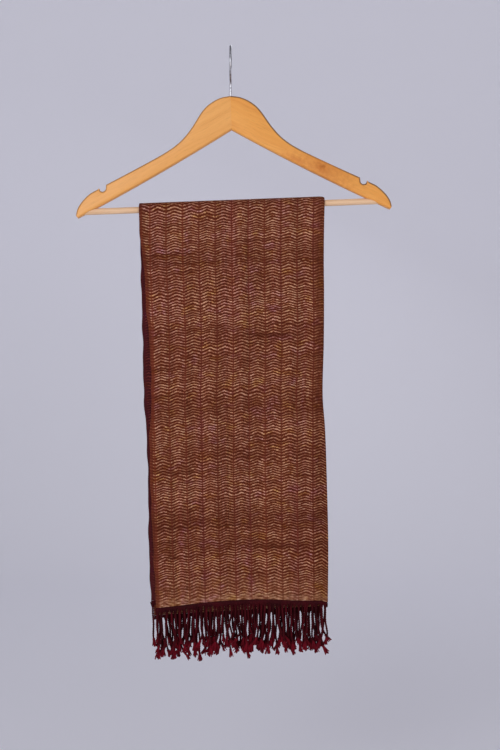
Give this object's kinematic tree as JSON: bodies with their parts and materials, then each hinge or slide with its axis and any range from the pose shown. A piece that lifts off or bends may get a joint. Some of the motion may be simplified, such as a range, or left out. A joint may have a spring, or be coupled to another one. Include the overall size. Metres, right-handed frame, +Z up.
{
  "type": "wool shawl on a wooden hanger",
  "caption": "Folded zigzag wool shawl with a knotted fringe, hung over the bar of a flat wooden hanger with a wire hook.",
  "frame": {"origin": "inner top of the hook, where it rests on a rail", "axes": "+Z up, +X along the hanger to the viewer's right, -Y towards the viewer, who sees the shawl's front fall"},
  "size_m": [0.4494, 0.0528, 0.8827],
  "materials": {
    "wool": "matte zigzag weave",
    "fringe": "matte twisted yarn",
    "hanger_wood": "clear varnish",
    "bar_wood": "bare turned wood",
    "hook_chrome": "polished wire"
  },
  "bodies": {
    "root": {"shawl_front_fall": "wool", "shawl_over_bar": "wool", "shawl_back_fall": "wool", "fringe_front": "fringe", "fringe_back": "fringe", "hanger_arm_left": "hanger_wood", "hanger_arm_right": "hanger_wood", "hanger_bar": "bar_wood", "hanger_hook": "hook_chrome"}
  },
  "joints": []
}
